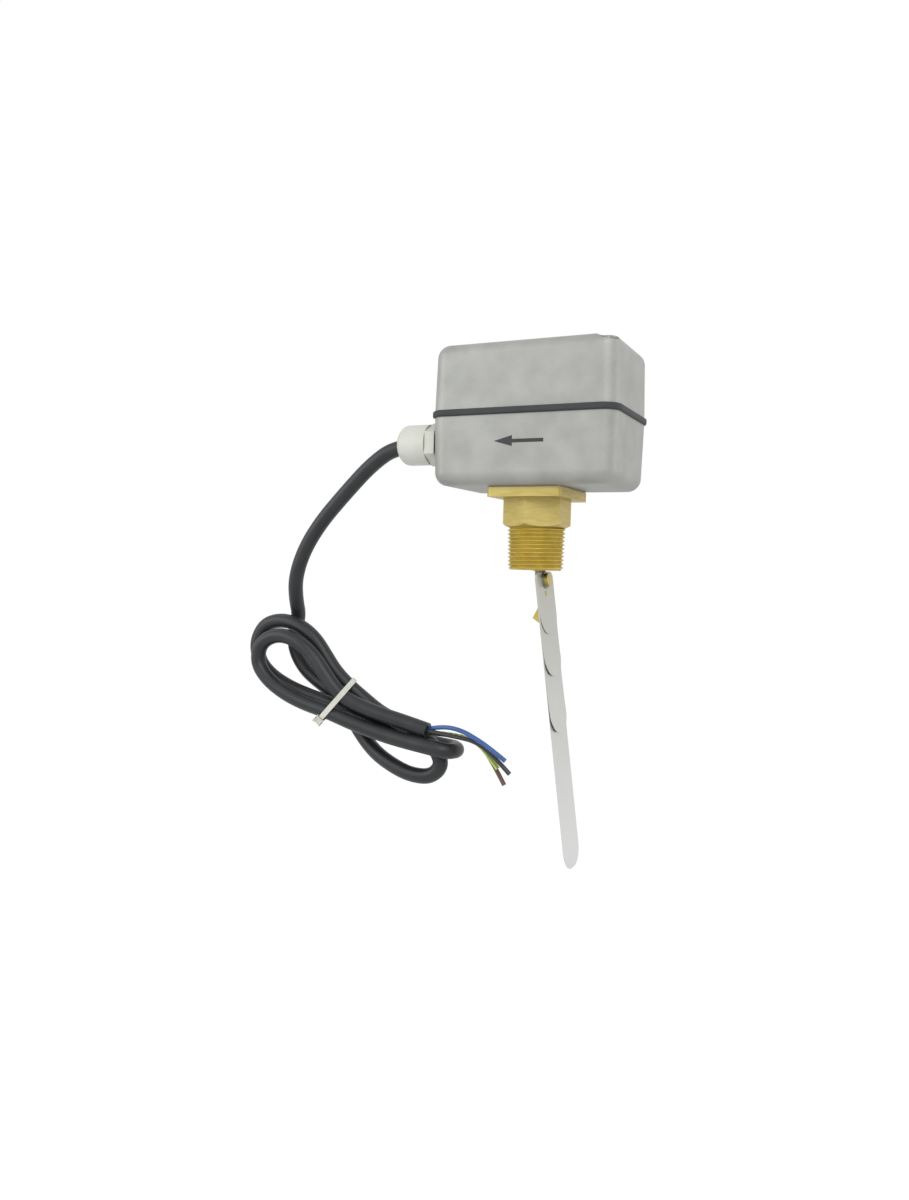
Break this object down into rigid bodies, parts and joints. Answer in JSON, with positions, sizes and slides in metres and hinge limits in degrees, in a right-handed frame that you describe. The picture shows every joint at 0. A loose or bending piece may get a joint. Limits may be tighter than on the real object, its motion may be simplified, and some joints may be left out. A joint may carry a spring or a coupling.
{
  "type": "paddle flow switch",
  "caption": "Paddle flow switch for a pipe: drafted die-cast housing on a threaded brass body, hinged paddle of stacked blades, gland and tied cable.",
  "frame": {"origin": "on the pipe thread's axis, at the lower face of the brass hexagon", "axes": "-Z along the thread, out of the housing and into the pipe; +X upstream, the flow goes towards -X; -Y is the front with the arrow"},
  "size_m": [0.2554, 0.0728, 0.3111],
  "materials": {
    "cast_aluminium": "bare die casting, satin",
    "brass": "machined, matte",
    "lever_brass": "machined",
    "bronze": "drawn, bright",
    "stainless": "bright rolled sheet",
    "zinc_steel": "zinc plated",
    "plated_sheet": "plated pressed sheet",
    "spring_steel": "drawn wire",
    "seal_rubber": "moulded, matte",
    "fibre_gasket": "pressed fibre",
    "gland_plastic": "moulded polyamide",
    "switch_case": "moulded phenolic",
    "plunger_plastic": "moulded",
    "contact_brass": "stamped",
    "cable_jacket": "extruded, slight gloss",
    "tie_plastic": "moulded nylon",
    "core_blue": "extruded",
    "core_black": "extruded",
    "core_green_yellow": "extruded, striped",
    "core_brown": "extruded"
  },
  "bodies": {
    "root": {"brass_body": "brass", "body_gasket": "fibre_gasket", "flange_screws": "zinc_steel", "base_housing": "cast_aluminium", "housing_gasket": "seal_rubber", "earth_washer": "zinc_steel", "earth_screw": "zinc_steel", "pivot_bush": "lever_brass", "pivot_pin": "stainless", "switch_bracket": "plated_sheet", "bracket_screws": "zinc_steel", "rocker_pin": "stainless", "range_spring": "spring_steel", "microswitch": "switch_case", "switch_terminals": "contact_brass", "switch_screws": "zinc_steel", "gland_body": "gland_plastic", "gland_washer": "seal_rubber", "gland_locknut": "gland_plastic", "gland_nut": "gland_plastic", "gland_seal": "seal_rubber", "cable": "cable_jacket", "cable_hank": "cable_jacket", "cable_tie": "tie_plastic", "core_blue": "core_blue", "core_black": "core_black", "core_green_yellow": "core_green_yellow", "core_brown": "core_brown"},
    "paddle": {"lever": "lever_brass", "blade_6_inch": "stainless", "blade_3_inch": "stainless", "blade_2_inch": "stainless", "blade_1_inch": "stainless", "paddle_washer": "zinc_steel", "paddle_screw": "lever_brass", "paddle_nut": "lever_brass", "locating_pin": "lever_brass", "bellows": "bronze"},
    "rocker": {"rocker": "plated_sheet"},
    "plunger": {"switch_plunger": "plunger_plastic"},
    "range_screw": {"range_screw": "zinc_steel"},
    "range_nut": {"range_nut": "lever_brass"},
    "cover": {"cover": "cast_aluminium", "cover_screws": "zinc_steel"}
  },
  "joints": [
    {"name": "paddle_swing", "type": "hinge", "parent": "root", "child": "paddle", "pos_m": [0, 0, -0.01], "axis": [0, 1, 0], "range_deg": [0, 12], "stiffness_Nm_per_rad": 0.05, "springref_deg": -20.05},
    {"name": "rocker_tilt", "type": "hinge", "parent": "root", "child": "rocker", "pos_m": [0.01, 0, 0.066], "axis": [0, -1, 0], "range_deg": [0, 15.3], "deforming": ["range_spring"]},
    {"name": "plunger_travel", "type": "slide", "parent": "root", "child": "plunger", "axis": [0, 0, -1], "range_m": [0, 0.0012]},
    {"name": "range_screw_turn", "type": "hinge", "parent": "root", "child": "range_screw", "pos_m": [0.033, 0, 0.085], "axis": [0, 0, 1], "range_deg": [-722, 722]},
    {"name": "range_nut_travel", "type": "slide", "parent": "root", "child": "range_nut", "axis": [0, 0, 1], "range_m": [-0.0014, 0.0014], "deforming": ["range_spring"]},
    {"name": "cover_lift", "type": "slide", "parent": "root", "child": "cover", "axis": [0, 0, 1], "range_m": [0, 0.08]}
  ],
  "couplings": [
    {"joint": "rocker_tilt", "follows": "paddle_swing", "ratio": 1.275},
    {"joint": "plunger_travel", "follows": "paddle_swing", "m_per_rad": 0.0057},
    {"joint": "range_screw_turn", "follows": "range_nut_travel", "rad_per_m": 8975.9}
  ]
}
